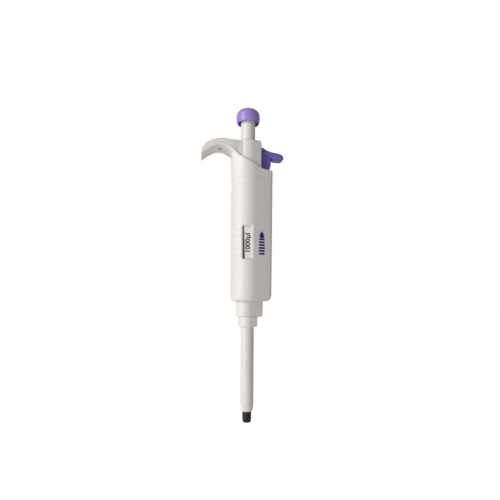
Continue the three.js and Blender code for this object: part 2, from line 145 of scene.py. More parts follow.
def teardrop(radius, tail, corner, taper, marks=()):
    """Points and outward normals of a circle whose flat sides run in to a blunt tail at +x.

    The flats lean in by taper degrees from where they touch the circle, and meet the tail's flat end
    along arcs of the radius corner. The outline is anticlockwise from the middle of the tail. marks
    are x values that get a point of their own on the -y side.
    """
    slope = math.radians(taper)
    start = radius * np.array([math.sin(slope), math.cos(slope)])
    corner_x = tail - corner
    corner_y = start[1] - (corner_x - start[0]) * math.tan(slope) - corner / math.cos(slope)
    flat_end = corner_x + corner * math.sin(slope)

    def arc(x, y, r, first, last, n):
        angles = np.linspace(first, last, n)
        across = np.stack([np.cos(angles), np.sin(angles)], 1)
        return np.array([x, y]) + r * across, across

    def flat(side):
        extra = [m for m in marks if side < 0 and start[0] < m < flat_end]
        xs = np.unique(np.r_[np.linspace(start[0], flat_end, 16), extra])[::-side]
        ys = side * (start[1] - (xs - start[0]) * math.tan(slope))
        normal = np.array([math.sin(slope), side * math.cos(slope)])
        return np.stack([xs, ys], 1), np.tile(normal, (len(xs), 1))

    round_angles = np.linspace(math.pi / 2 - slope, 1.5 * math.pi + slope, 96)
    on_circle = [m for m in marks if abs(m) < radius and m <= start[0]]
    extra = [2 * math.pi - math.acos(m / radius) for m in on_circle]
    round_angles = np.unique(np.r_[round_angles, extra])
    across = np.stack([np.cos(round_angles), np.sin(round_angles)], 1)
    tail_y = np.linspace(0, corner_y, 6)
    tail_up = np.stack([np.full_like(tail_y, tail), tail_y], 1)
    tail_normals = np.tile([1.0, 0.0], (len(tail_y), 1))
    pieces = [
        (tail_up, tail_normals),
        arc(corner_x, corner_y, corner, 0, math.pi / 2 - slope, 12),
        flat(1),
        (radius * across, across),
        flat(-1),
        arc(corner_x, -corner_y, corner, slope - math.pi / 2, 0, 12),
        (tail_up[::-1] * [1, -1], tail_normals),
    ]
    points = np.vstack([p[:-1] for p, _ in pieces])
    normals = np.vstack([n[:-1] for _, n in pieces])
    return points, normals


def circle_like(points, radius):
    """A circle round the axis with one point in the direction of each point of an outline."""
    away = points / np.linalg.norm(points, axis=1)[:, None]
    return radius * away, away


def outline_like(points, other):
    """Where the rays from the axis through an outline's points meet another outline."""
    angle = np.arctan2(points[:, 1], points[:, 0])
    other_angle = np.arctan2(other[:, 1], other[:, 0])
    distance = np.interp(angle, other_angle, np.hypot(*other.T), period=2 * np.pi)
    return np.stack([distance * np.cos(angle), distance * np.sin(angle)], 1)


def with_slot(points, reach, half_width):
    """Widens an outline with a slot of a half width that runs to x = reach."""
    angle = np.arctan2(points[:, 1], points[:, 0])
    ahead = np.maximum(np.cos(angle), 1e-6)
    side = np.maximum(np.abs(np.sin(angle)), 1e-6)
    slot = np.where(np.cos(angle) > 0, np.minimum(reach / ahead, half_width / side), 0)
    distance = np.maximum(np.hypot(*points.T), slot)
    return np.stack([distance * np.cos(angle), distance * np.sin(angle)], 1)


def ring(outline, z):
    """An outline lifted to a height, which may be one number or one for each point."""
    return np.column_stack([outline, np.broadcast_to(z, len(outline))])


def box_sections(half, low, high, low_radius, high_radius, flat=13, arc=7):
    """Rounded rectangles, one for each station: across from -half to half, up from low to high.

    Each argument is one number or one for each station. The first answer is the distance across and
    the second the height, as station by point arrays that go anticlockwise.
    """
    half, low, high, low_radius, high_radius = np.broadcast_arrays(
        *(np.atleast_1d(np.asarray(v, float)) for v in (half, low, high, low_radius, high_radius))
    )
    room = 0.49 * np.minimum(high - low, 2 * half)
    r0 = np.minimum(low_radius, room)[:, None]
    r1 = np.minimum(high_radius, room)[:, None]
    half, low, high = half[:, None], low[:, None], high[:, None]
    along = np.linspace(-1, 1, flat)[None, 1:-1]
    turn = np.radians(np.linspace(0, 90, arc))[None, :]
    bottom = (along * (half - r0), low + 0 * along)
    top = (-along * (half - r1), high + 0 * along)
    corners = [
        (half - r0 + r0 * np.sin(turn), low + r0 - r0 * np.cos(turn)),
        (half - r1 + r1 * np.cos(turn), high - r1 + r1 * np.sin(turn)),
        (-half + r1 - r1 * np.sin(turn), high - r1 + r1 * np.cos(turn)),
        (-half + r0 - r0 * np.cos(turn), low + r0 - r0 * np.sin(turn)),
    ]
    parts = [bottom, corners[0], corners[1], top, corners[2], corners[3]]
    return np.hstack([p[0] for p in parts]), np.hstack([p[1] for p in parts])


# ------------------------------------------------------------------ skins


def skin(rings, loop=False, first=None, last=None):
    """Points and faces of a skin over rings of equally many points.

    With loop the last ring joins the first. Otherwise each end closes on a middle point, which is the
    mean of its ring unless first or last says where it is.
    """
    rings = np.asarray(rings, float)
    rows, columns = rings.shape[:2]
    points = rings.reshape(-1, 3)
    steps = rows if loop else rows - 1
    i, j = np.meshgrid(np.arange(steps), np.arange(columns), indexing="ij")
    after_i, after_j = (i + 1) % rows, (j + 1) % columns
    quads = np.stack(
        [i * columns + j, i * columns + after_j, after_i * columns + after_j, after_i * columns + j], -1
    ).reshape(-1, 4)
    faces = quads.tolist()
    if not loop:
        first = rings[0].mean(0) if first is None else first
        last = rings[-1].mean(0) if last is None else last
        points = np.vstack([points, first, last])
        column = np.arange(columns)
        after = (column + 1) % columns
        base = (rows - 1) * columns
        middle = np.full(columns, rows * columns)
        faces += np.stack([after, column, middle], 1).tolist()
        faces += np.stack([base + column, base + after, middle + 1], 1).tolist()
    return points, faces


def turned(profile, sides=96, centre=0.0):
    """A profile of (radius, z) points turned round an upright axis at x = centre.

    A profile that starts and ends on the axis closes there, and any other one closes on itself.
    """
    profile = np.asarray(profile, float)
    on_axis = profile[0, 0] < 1e-6 and profile[-1, 0] < 1e-6
    body = profile[1:-1] if on_axis else profile
    angle = np.linspace(0, 2 * np.pi, sides, endpoint=False)
    r, z = body[:, :1], body[:, 1:]
    rings = np.stack([centre + r * np.cos(angle), r * np.sin(angle), z + 0 * angle], -1)
    if on_axis:
        return skin(rings, first=(centre, 0, profile[0, 1]), last=(centre, 0, profile[-1, 1]))
    return skin(rings, loop=True)


def merged(*skins):
    """Several skins as one list of points and faces."""
    points, faces, offset = [], [], 0
    for skin_points, skin_faces in skins:
        points.append(skin_points)
        faces += [[index + offset for index in face] for face in skin_faces]
        offset += len(skin_points)
    return np.vstack(points), faces


SHARP = math.radians(38)    # edges that turn by more than this stay sharp


def piece(name, surface, body, slot, material, *cad_nodes):
    """A mesh object with its faces outward, which rides on a body and may replace CAD nodes."""
    points, faces = surface
    mesh = bpy.data.meshes.new(name)
    mesh.from_pydata(world(points), [], faces)
    shape = bmesh.new()
    shape.from_mesh(mesh)
    bmesh.ops.recalc_face_normals(shape, faces=shape.faces)
    if shape.calc_volume(signed=True) < 0:
        bmesh.ops.reverse_faces(shape, faces=shape.faces)
    shape.to_mesh(mesh)
    shape.free()
    mesh.shade_smooth()
    mesh.set_sharp_from_angle(angle=SHARP)
    mesh.materials.append(material)
    made = bpy.data.objects.new(name, mesh)
    bpy.context.scene.collection.objects.link(made)
    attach(made, body)
    if cad_nodes:
        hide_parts(*cad_nodes)
    return made


# ------------------------------------------------------------------ materials


def linear(hex_colour, alpha=1.0):
    """An sRGB hex colour as linear red, green, blue and alpha."""
    srgb = np.array([int(hex_colour[i : i + 2], 16) for i in (1, 3, 5)]) / 255
    return (*np.where(srgb <= 0.04045, srgb / 12.92, ((srgb + 0.055) / 1.055) ** 2.4), alpha)


def add(tree, kind, inputs=None, **settings):
    """Adds a node with its settings. Each input takes a value or the socket that feeds it."""
    node = tree.nodes.new(kind)
    for key, value in settings.items():
        setattr(node, key, value)
    for key, value in (inputs or {}).items():
        if isinstance(value, bpy.types.NodeSocket):
            tree.links.new(value, node.inputs[key])
        else:
            node.inputs[key].default_value = value
    return node


PATCH = 9.0                 # size of the patches over which a material's colour drifts


def surface(
    name, colour, roughness, ior=1.5, metallic=0.0, spread=0.05, grain=0.5, relief=0.004, alpha=1.0
):
    """A material whose colour drifts between two over patches, and whose gloss follows a fine grain.

    grain is the grain's size and relief its height, in millimetres. spread is how far roughness goes
    to each side.
    """
    material = bpy.data.materials.new(name)
    material.use_nodes = True
    tree = material.node_tree
    shader = tree.nodes["Principled BSDF"]
    place = add(tree, "ShaderNodeTexCoord").outputs["Object"]
    cloud = add(tree, "ShaderNodeTexNoise", {"Vector": place, "Scale": 1 / (PATCH * MM), "Detail": 3.0})
    fine = add(tree, "ShaderNodeTexNoise", {"Vector": place, "Scale": 1 / (grain * MM), "Detail": 4.0})
    tint = add(tree, "ShaderNodeMix", {"Factor": cloud.outputs["Fac"]}, data_type="RGBA")
    tint.inputs[6].default_value = linear(colour[0])
    tint.inputs[7].default_value = linear(colour[1])
    reach = {"Value": fine.outputs["Fac"], "To Min": roughness - spread, "To Max": roughness + spread}
    gloss = add(tree, "ShaderNodeMapRange", reach)
    height = {"Height": fine.outputs["Fac"], "Distance": relief * MM, "Strength": 1.0}
    bump = add(tree, "ShaderNodeBump", height)
    tree.links.new(tint.outputs[2], shader.inputs["Base Color"])
    tree.links.new(gloss.outputs["Result"], shader.inputs["Roughness"])
    tree.links.new(bump.outputs["Normal"], shader.inputs["Normal"])
    shader.inputs["IOR"].default_value = ior
    shader.inputs["Metallic"].default_value = metallic
    shader.inputs["Alpha"].default_value = alpha
    return material


def white_abs():
    """Injection-moulded ABS from a spark-eroded mould: warm white, satin, with a very fine even grain."""
    return surface(
        "moulded_abs_white", ("#F2EFEB", "#EDE9E4"), 0.42, ior=1.53, grain=0.45, relief=0.006
    )


def lilac_abs():
    """Polished-mould ABS: a soft gloss that shows the lamp as a blurred patch."""
    return surface(
        "moulded_abs_lilac", ("#AC92E0", "#A48AD8"), 0.3, ior=1.53, spread=0.03, grain=0.8, relief=0.002
    )


def violet_abs():
    """Moulded ABS in a deeper violet, a little less glossy than the button."""
    return surface(
        "moulded_abs_violet", ("#7A6AC0", "#7262B8"), 0.36, ior=1.53, spread=0.04, grain=0.6
    )


def black_pvdf():
    """Moulded PVDF of the tip cone: near black and waxy, so its highlights are wide and low."""
    return surface(
        "moulded_pvdf_black", ("#232325", "#1C1C1E"), 0.4, ior=1.42, spread=0.06, grain=0.35, relief=0.01
    )


def natural_acetal():
    """Machined acetal of bushes and seals: milky white and slippery-looking."""
    return surface("machined_acetal", ("#ECE9DF", "#E4E0D4"), 0.35, ior=1.48, grain=0.3)


def grey_polypropylene():
    """Moulded polypropylene of the inner tube and cylinder: light grey, matt and faintly waxy."""
    return surface(
        "moulded_polypropylene_grey", ("#BFC1BE", "#B5B7B4"), 0.5, ior=1.49, relief=0.006
    )


def nitrile_rubber():
    """Moulded nitrile of the O-rings: dull black with almost no highlight."""
    return surface("nitrile_rubber", ("#242425", "#1B1B1C"), 0.75, ior=1.52, grain=0.25, relief=0.01)


def stainless_steel():
    """Drawn stainless steel: bright grey with fine streaks that blur its reflections."""
    return surface(
        "drawn_stainless_steel", ("#BDBEC0", "#AEB0B3"), 0.28, metallic=1.0, spread=0.08, grain=0.3,
        relief=0.003
    )


def near_black_steel():
    """Near-black steel of the hook's screw, with a dull metallic sheen."""
    return surface(
        "near_black_steel", ("#2A2A2B", "#1F1F20"), 0.5, metallic=0.6, spread=0.08, grain=0.2
    )


def turned_brass():
    """Turned brass of the calibration nut: yellow metal with tool marks too fine to see singly."""
    return surface(
        "turned_brass", ("#D9B565", "#C9A452"), 0.3, metallic=1.0, spread=0.06, grain=0.3
    )


def label_film():
    """Matt polyester film under the window, in ivory."""
    return surface("matt_polyester_film", ("#FAFAF0", "#F6F6EA"), 0.6, ior=1.57, grain=0.4, relief=0.003)


def black_print_and_shadow():
    """Screen-printed black ink of the figures, nearly flat and a little softer than the film under it; also
    the painted shadow down the label's left side.
    """
    return surface("black_print_and_painted_shadow", ("#26261F", "#1D1D18"), 0.55, grain=0.3, relief=0.002)


def violet_ink():
    """Pad-printed violet-blue ink on the grip: dense, with a slight sheen."""
    return surface("pad_ink_violet", ("#34268C", "#2B1F80"), 0.4, grain=0.3, relief=0.002)


def clear_polycarbonate():
    """A thin clear moulded pane: nearly invisible from the front, with a faint grey body."""
    return surface(
        "clear_polycarbonate", ("#F4F6F6", "#EEF1F1"), 0.08, ior=1.58, spread=0.02, relief=0.0005, alpha=0.05
    )


WHITE = white_abs()
STEEL = stainless_steel()
ACETAL = natural_acetal()
GREY = grey_polypropylene()
RUBBER = nitrile_rubber()

# ------------------------------------------------------------------ the grip

FIT = 0.15                  # gap between two parts that are fixed together
GRIP_RADIUS = 12.7
GRIP = dict(radius=GRIP_RADIUS, tail=HANDLE_HIGH[0], corner=3.0, taper=17.5)
GRIP_BOTTOM = HANDLE_LOW[2]
GRIP_FLOOR = 2.5            # thickness of the grip's floor
FLOOR_BORE = 7.0            # radius of the hole in the floor, for the tip cone's collar
ROD_SLOT = (11.1, 1.4)      # reach and half width of the floor's slot for the ejector rod
GRIP_EDGE = (2.2, 4.8)      # height of the lower edge's rounding, round the circle and at the tail
WALL = 1.4
TAIL_DRAFT = 0.65           # how much shorter the tail is at the bottom
POCKET_TOP = SLEEVE_HIGH[2] + 0.4
NECK = dict(radius=10.0, tail=9.5, corner=1.4, taper=17.5)
NECK_TOP = 214.5
NECK_EDGE = 1.2             # radius of the neck's top edge
NECK_BORE = 8.8
COLLAR = dict(radius=8.0, tail=12.3, corner=2.0, taper=17.5)
COLLAR_CENTRE = -0.7
STEP = dict(radius=6.95, tail=7.3, corner=1.2, taper=17.5)

WINDOW_TURN = math.radians(-6.3)    # the window's direction, from -y towards -x
WINDOW_SIDES = (-5.39, 1.25)        # x of the opening's edges on the grip's surface
BEVEL_SIDES = (-6.25, 2.75)         # x of the outer edges of the sloped frame round it
WINDOW_BOTTOM = LENS_LOW[2] - FIT
WINDOW_TOP = LENS_HIGH[2] + FIT
BEVEL = 0.9                 # width of the frame above and below
BEVEL_DEPTH = 0.7

RIB_TOP = 186.1
RIB_PITCH = 2.46
RIB_ROWS = 15               # rows all round, every second one deeper
STRIP_ROWS = 9              # deep rows that carry on down the hook side only
RIB_WIDTH = 0.42
RIB_DEPTHS = (0.26, 0.14)   # of even and odd rows
GROOVE_STEPS = np.array([-1.9, -0.95, -0.4, 0, 0.4, 0.95, 1.9])    # rings of a groove, in rib widths

# The line between grip and head cover, seen from the front.
PARTING = spline([
    (24, 191.5), (17, 192.1), (12, 192.5), (7, 193.9), (0.1, 197.5), (-6, 201), (-9.8, 204.4),
    (-14.2, 208.9), (-18.7, 210.7), (-23.2, 211.1), (-27.7, 210.2), (-31.2, 208.3), (-40, 202.6),
])


def parting(x):
    """The height of the line between grip and head cover at x."""
    return np.interp(x, PARTING[::-1, 0], PARTING[::-1, 1])


def turn_in(points):
    """Points of the pipette's frame in the window's: across it, and along its direction."""
    c, s = math.cos(WINDOW_TURN), math.sin(WINDOW_TURN)
    return points @ np.array([[c, -s], [s, c]])


def turn_out(points):
    """Points of the window's frame in the pipette's."""
    c, s = math.cos(WINDOW_TURN), math.sin(WINDOW_TURN)
    return points @ np.array([[c, s], [-s, c]])


def rib_depth(x, z):
    """Shallow rounded grooves at a fixed pitch, all round above and only on the hook side below."""
    depth = np.zeros(np.broadcast(x, z).shape)
    for row in range(RIB_ROWS + 2 * STRIP_ROWS):
        below = row >= RIB_ROWS
        if below and row % 2:
            continue
        where = smooth(-x, 6.0, 7.5) if below else 1.0
        middle = RIB_TOP - RIB_PITCH * row
        depth = depth + where * RIB_DEPTHS[row % 2] * np.exp(-(((z - middle) / RIB_WIDTH) ** 2))
    return depth


def window_depth(x, y, z):
    """A sloped frame that falls to BEVEL_DEPTH at the opening's edge."""
    left = (WINDOW_SIDES[0] - x) / (WINDOW_SIDES[0] - BEVEL_SIDES[0])
    right = (x - WINDOW_SIDES[1]) / (BEVEL_SIDES[1] - WINDOW_SIDES[1])
    above = np.maximum(z - WINDOW_TOP, WINDOW_BOTTOM - z) / BEVEL
    past = np.maximum(np.maximum(left, right), above)
    return np.where(y < -8, BEVEL_DEPTH * np.clip(1 - past, 0, 1), 0)


def wall_levels():
    """Heights of the grip's rings: close together at each groove and at the window's edges."""
    rows = np.array([r for r in range(RIB_ROWS + 2 * STRIP_ROWS) if r < RIB_ROWS or r % 2 == 0])
    grooves = RIB_TOP - RIB_PITCH * rows[:, None] + GROOVE_STEPS * RIB_WIDTH
    edges = [WINDOW_BOTTOM - BEVEL, WINDOW_BOTTOM, WINDOW_TOP, WINDOW_TOP + BEVEL]
    supports = [WINDOW_BOTTOM - BEVEL - 0.2, WINDOW_TOP + BEVEL + 0.2]
    plain = np.linspace(GRIP_BOTTOM + GRIP_EDGE[1] + 0.2, 187.5, 22)
    levels = np.unique(np.round(np.r_[grooves.ravel(), edges, supports, plain], 3))
    keep = np.r_[True, np.diff(levels) > 0.05]
    near_edge = np.isin(levels, np.round(edges, 3))
    return levels[keep | near_edge]


def grip_shell():
    """The grip's wall as one grid of rings that runs up the outside, over the rim and back inside.

    A ring is the teardrop section, moved in along its normals by the corner rounding, the grooves and
    the window's frame. Above the grooves the heights stretch to the parting line. The faces of the
    window are left out of both walls, and the two openings are joined.
    """
    marks = [BEVEL_SIDES[0], *WINDOW_SIDES, BEVEL_SIDES[1]]
    outline, normals = teardrop(**GRIP, marks=marks)
    x, y = outline.T
    collar, collar_normals = teardrop(**COLLAR)
    pocket = outline_like(outline, collar + collar_normals * FIT + [COLLAR_CENTRE, 0])

    def inset(amount, z):
        """The section at a height, with the tail's draft, moved in by one amount or one for each point."""
        drafted = outline.copy()
        drafted[:, 0] -= TAIL_DRAFT * np.clip((x - 6) / 12.8, 0, 1) * np.clip((190 - z) / 97, 0, 1)
        return drafted - normals * np.broadcast_to(amount, len(x))[:, None]

    rings = []
    floor_hole = with_slot(circle_like(outline, FLOOR_BORE)[0], *ROD_SLOT)
    rings.append(ring(floor_hole, GRIP_BOTTOM + GRIP_FLOOR))
    rings.append(ring(floor_hole, POCKET_TOP))
    rings.append(ring(pocket, POCKET_TOP))
    rings.append(ring(pocket, GRIP_BOTTOM))
    edge = GRIP_EDGE[0] + (GRIP_EDGE[1] - GRIP_EDGE[0]) * smooth(x, 5, 18)
    for angle in np.radians(np.linspace(0, 90, 10)):
        tuck = GRIP_EDGE[0] * (1 - math.sin(angle))
        smaller, _ = teardrop(
            GRIP_RADIUS - tuck, GRIP["tail"] - TAIL_DRAFT - 2 * tuck, max(GRIP["corner"] - tuck, 0.3),
            GRIP["taper"], marks=marks,
        )
        rings.append(ring(smaller, GRIP_BOTTOM + edge * (1 - math.cos(angle))))
    levels = wall_levels()
    first_level = len(rings)
    for z in levels:
        rings.append(ring(inset(rib_depth(x, z) + window_depth(x, y, z), z), z))
    rim = 0.5
    top = parting(x)
    for share in np.linspace(0, 1, 9)[1:]:
        z = levels[-1] + share * (top - rim - levels[-1])
        rings.append(ring(outline, z))
    for angle in np.radians(np.linspace(0, 90, 6))[1:]:
        rings.append(ring(inset(rim * (1 - math.cos(angle)), 190), top - rim * (1 - math.sin(angle))))
    neck_outline, neck_normals = teardrop(**NECK)
    clear_neck = neck_outline + neck_normals * FIT
    mouth = with_slot(outline_like(outline, clear_neck), LEVER_REACH + 0.2, STEM_HALF + 0.25)
    for share in (0.3, 1.0):
        at = outline - normals * rim + share * (mouth - outline + normals * rim)
        rings.append(ring(at, parting(at[:, 0])))
    roof = parting(mouth[:, 0]) - 2.0 - 2.6 * smooth(mouth[:, 0], 10, 16)
    rings.append(ring(mouth, roof))
    inner = outline - normals * WALL
    facing = (y < 0) & (x > BEVEL_SIDES[0] - 0.01) & (x < BEVEL_SIDES[1] + 0.01)
    across = turn_in(outline[facing])
    across[:, 1] = -np.sqrt((GRIP_RADIUS - WALL) ** 2 - across[:, 0] ** 2)
    inner[facing] = turn_out(across)
    rings.append(ring(inner, roof))
    in_window = (levels > WINDOW_BOTTOM - 1e-3) & (levels < WINDOW_TOP + 1e-3)
    window_rows = first_level + np.flatnonzero(in_window)
    first_inner = len(rings)
    for z in levels[in_window][::-1]:
        rings.append(ring(inner, z))
    rings.append(ring(inner, GRIP_BOTTOM + GRIP_FLOOR))

    points, faces = skin(rings, loop=True)
    columns = len(x)
    opening = np.flatnonzero((y < 0) & (x > WINDOW_SIDES[0] - 1e-6) & (x < WINDOW_SIDES[1] + 1e-6))
    r0, r1, c0, c1 = window_rows[0], window_rows[-1], opening[0], opening[-1]
    faces = np.array(faces)
    row, column = faces[:, 0] // columns, faces[:, 0] % columns
    inner_rows = (row >= first_inner) & (row < first_inner + len(window_rows) - 1)
    gone = (((row >= r0) & (row < r1)) | inner_rows) & (column >= c0) & (column < c1)
    faces = faces[~gone].tolist()

    def opposite(r):
        return first_inner + (r1 - r)

    for r in (r0, r1):
        for c in range(c0, c1):
            at, inside = r * columns + c, opposite(r) * columns + c
            faces.append([at, at + 1, inside + 1, inside])
    for c in (c0, c1):
        for r in range(r0, r1):
            at, inside = r * columns + c, opposite(r) * columns + c
            faces.append([at, at + columns, inside - columns, inside])
    return points, faces


# ------------------------------------------------------------------ the finger hook and the head cover

# Stations from the hook's tip to its root: the underside, the parting line, and the top.
HOOK_STATIONS = np.array([
    [(-35.4, 201.9), (-35.8, 203.6), (-35.85, 203.75)],
    [(-34.7, 202.3), (-35.5, 204.9), (-35.7, 205.1)],
    [(-33.7, 203.1), (-34.6, 206.0), (-35.1, 207.2)],
    [(-32.1, 204.3), (-33.0, 207.0), (-34.0, 209.2)],
    [(-29.7, 206.0), (-30.7, 208.5), (-32.0, 211.3)],
    [(-27.2, 207.45), (-27.9, 210.1), (-28.8, 213.1)],
    [(-25.2, 208.4), (-25.5, 210.8), (-26.0, 214.0)],
    [(-22.6, 208.95), (-22.7, 211.05), (-22.8, 214.65)],
    [(-20.0, 208.85), (-19.7, 210.85), (-19.3, 214.8)],
    [(-17.5, 208.2), (-16.4, 210.0), (-15.8, 214.35)],
    [(-14.9, 206.5), (-13.2, 208.1), (-12.4, 214.15)],
    [(-13.2, 204.0), (-9.6, 204.3), (-9.0, 214.1)],
    [(-12.75, 199.5), (-6.0, 201.0), (-6.0, 214.0)],
    [(-12.6, 194.0), (-2.0, 196.0), (-3.0, 213.8)],
])
HOOK_HALF = 9.85
HOOK_ROUND = (1.1, 0.3)             # radii of the lower half's edges, underneath and at the parting line
COVER_HALF = 9.3
COVER_ROUND = (0.25, 2.2)           # radii of the cover's edges, at the parting line and on top
COVER_GAP = 0.12                    # between the two halves
NECK_CLEARANCE = (10.3, 9.4)        # nearest radius that the lower half and the cover come to the axis


def tip_share(x):
    """How far the hook has narrowed towards its tip: 0 at the root and 1 at the tip."""
    return 1 - smooth(x, -35.4, -15)


def clear_of_neck(x, y, radius):
    """Holds back the x of points that would come nearer to the axis than the radius."""
    return np.minimum(x, -np.sqrt(radius**2 - y**2))


def hook_shell():
    """The hook's lower half: rounded rectangles from the underside up to the parting line.

    Towards the root each section's underside bends in to the grip's own round, by the sagitta of that
    circle, so that the hook flows into the grip.
    """
    low, high = spline(HOOK_STATIONS[:, 0]), spline(HOOK_STATIONS[:, 1])
    up = high - low
    height = np.linalg.norm(up, axis=1)
    half = HOOK_HALF - 1.2 * tip_share(low[:, 0])
    across, rise = box_sections(half, 0, height, *HOOK_ROUND)
    share = (rise / height[:, None])[..., None]
    at = low[:, None, :] + share * up[:, None, :]
    merge = smooth(np.arange(len(low)) / CURVE_STEPS, 9, 12.3)[:, None]
    sagitta = GRIP_RADIUS - np.sqrt(np.maximum(GRIP_RADIUS**2 - across**2, 0))
    bent = at[..., 0] + merge * (sagitta + 0.03) * (1 - share[..., 0])
    x = clear_of_neck(bent, across, NECK_CLEARANCE[0])
    return skin(np.stack([x, across, at[..., 1]], -1)[:, ::-1])


def screw_recess(hook):
    """Cuts the blind hole under the hook with a turned cutter that has a small lead-in."""
    radius = SCREW_HIGH[0] - SCREW_X + FIT
    top = SCREW_LOW[2] + 0.95
    profile = np.array([
        (0, 205), (radius + 4, 205), (radius + 0.25, 208.8), (radius, 209.15), (radius, top), (0, top),
    ])
    points, faces = turned(profile, sides=48, centre=SCREW_X)
    mesh = bpy.data.meshes.new("recess_cutter")
    mesh.from_pydata(world(points), [], faces)
    cutter = bpy.data.objects.new("recess_cutter", mesh)
    bpy.context.scene.collection.objects.link(cutter)
    cut = hook.modifiers.new("recess", "BOOLEAN")
    cut.operation = "DIFFERENCE"
    cut.solver = "EXACT"
    cut.object = cutter
    seen = hook.evaluated_get(bpy.context.evaluated_depsgraph_get())
    hook.data = bpy.data.meshes.new_from_object(seen)
    hook.modifiers.clear()
    bpy.data.objects.remove(cutter)


def neck():
    """The neck as one grid of rings, up the outside and down the bores.

    The top edge's rounding is longer at the tail than round the circle.
    """
    outline, normals = teardrop(**NECK)
    bottom, top = COVER_LOW[2], NECK_TOP
    drop = NECK_EDGE + 2.6 * smooth(outline[:, 0], 3, 9)

    def circle(radius, z):
        return ring(circle_like(outline, radius)[0], z)

    rings = [circle(NECK_BORE, bottom), ring(outline - normals * 0.3, bottom), ring(outline, bottom + 0.3)]
    rings += [ring(outline, z) for z in np.linspace(bottom + 0.6, top - 4, 6)]
    for angle in np.radians(np.linspace(0, 90, 9)):
        edge = outline - normals * NECK_EDGE * (1 - math.cos(angle))
        rings.append(ring(edge, top - drop * (1 - math.sin(angle))))
    opening = [(6.1, top), (5.8, top - 0.08), (5.7, top - 0.4), (5.7, 212.6)]
    bore = [(7.6, 212.5), (7.6, 203.4), (NECK_BORE, 203.3)]
    rings += [circle(radius, z) for radius, z in opening + bore]
    return skin(rings, loop=True)


def hook_cover():
    """The hook's upper half: a little narrower than the lower one, most of all at the tip."""
    stations = HOOK_STATIONS[1:]
    low, high = spline(stations[:, 1]), spline(stations[:, 2])
    up = high - low
    height = np.maximum(np.linalg.norm(up, axis=1), 0.05)
    half = COVER_HALF - 1.0 * tip_share(low[:, 0]) - 0.5 * smooth(low[:, 0], -13, -8)
    across, rise = box_sections(half, COVER_GAP, height, *COVER_ROUND)
    at = low[:, None, :] + (rise / height[:, None])[..., None] * up[:, None, :]
    x = clear_of_neck(at[..., 0], across, NECK_CLEARANCE[1])
    return skin(np.stack([x, across, at[..., 1]], -1)[:, ::-1])


# ------------------------------------------------------------------ the plunger


def push_button():
    """The thumb button, turned: a dome that is widest low down, tucked in to a rim, and hollow below."""
    outside = spline([
        (0, 240.5), (2.6, 240.35), (5.4, 239.5), (7.5, 238.1), (8.6, 236.3),
        (8.95, 233.8), (8.85, 231.6), (8.5, 230.1), (8.3, 229.5),
    ], steps=7)
    under = spline([(8.1, 229.2), (7.85, 229.4), (7.9, 231), (8.0, 234), (7.2, 236.3)], steps=5)
    boss = [(3.0, 236.6), (3.0, BUTTON_LOW[2] + 0.3), (2.7, BUTTON_LOW[2]), (0, BUTTON_LOW[2])]
    return turned(np.vstack([outside, under, boss])[::-1], sides=128)


def plunger_rod():
    """The white tube under the button, turned, with a bore for the steel shaft and broken edges."""
    low, high = cad_mm("plunger_rod")
    radius, bore, waist = high[0], 2.15, 4.4
    return turned(rounded([
        (bore, low[2] + 10, 0), (bore, low[2], 0.2), (waist, low[2], 0.3), (waist, 201.9, 0.1),
        (radius, 201.9, 0.4), (radius, high[2], 0.35), (3.15, high[2], 0.2), (3.15, 222, 0),
        (bore, 221.5, 0), (bore, low[2] + 10, 0),
    ])[:-1], sides=96)


# ------------------------------------------------------------------ the tip ejector


def ejector_lever():
    """The thumb pad as sections along x, and its stem as sections up z, which overlap.

    The pad's top falls in a hollow curve, its underside rises towards the stem, and its end closes
    along a quarter ellipse. The stem widens a little where it meets the pad.
    """
    start, end, half = LEVER_LOW[0] - 0.8, LEVER_HIGH[0], LEVER_HIGH[1]
    round_end = 2.5
    share = np.r_[np.linspace(0, 0.85, 30), np.linspace(0.86, 1, 22)]
    x = start + (end - start) * share
    upper = spline([
        (start, 210.6), (10.6, 210.9), (11.2, 210.7), (13.9, 208.95), (17.7, 207.7), (21.6, 207.05),
        (25, 206.3), (end, 205.6),
    ])
    lower = spline([(start, 205), (15, 204.6), (17.5, 203.1), (19.2, 201.8), (22, 201.5), (end, 201.4)])
    high = np.interp(x, upper[:, 0], upper[:, 1])
    low = np.interp(x, lower[:, 0], lower[:, 1])
    blunt = np.sqrt(np.clip(1 - (np.maximum(x - (end - round_end), 0) / round_end) ** 2, 0.0004, 1))
    blunt = blunt * (0.9 + 0.1 * smooth(x, start, start + 0.5))
    middle, thick = (high + low) / 2, (high - low) / 2 * blunt
    wide = half * (0.35 + 0.65 * blunt)
    across, rise = box_sections(wide, middle - thick, middle + thick, 1.0, 1.7)
    pad = np.stack([np.broadcast_to(x[:, None], across.shape), across, rise], -1)
    z = np.r_[np.linspace(LEVER_LOW[2], 193, 4), np.linspace(193.6, 206.5, 27)]
    back = spline([
        (16.6, LEVER_LOW[2]), (16.6, 193), (16.95, 195.5), (17.4, 197.8), (LEVER_REACH, 200),
        (LEVER_REACH, 207),
    ])
    right = np.interp(z, back[:, 1], back[:, 0])
    side, along = box_sections(STEM_HALF + 0 * z, start + 0 * z, right, 0.5, 0.9, flat=5)
    stem = np.stack([along, side, np.broadcast_to(z[:, None], side.shape)], -1)
    return merged(skin(pad), skin(stem))


def edge_rings(outline, normals, z, radius, upward, steps=5):
    """Rings that turn a face into a wall: from inset by the radius at z to no inset a radius away."""
    angles = np.radians(np.linspace(0, 90, steps + 1))
    return [
        ring(outline - normals * radius * (1 - math.sin(a)), z + upward * radius * (1 - math.cos(a)))
        for a in angles
    ]


TUBE_RADIUS = 5.16
STEP_BOTTOM = 73.5
COLLAR_BOTTOM = 81.0


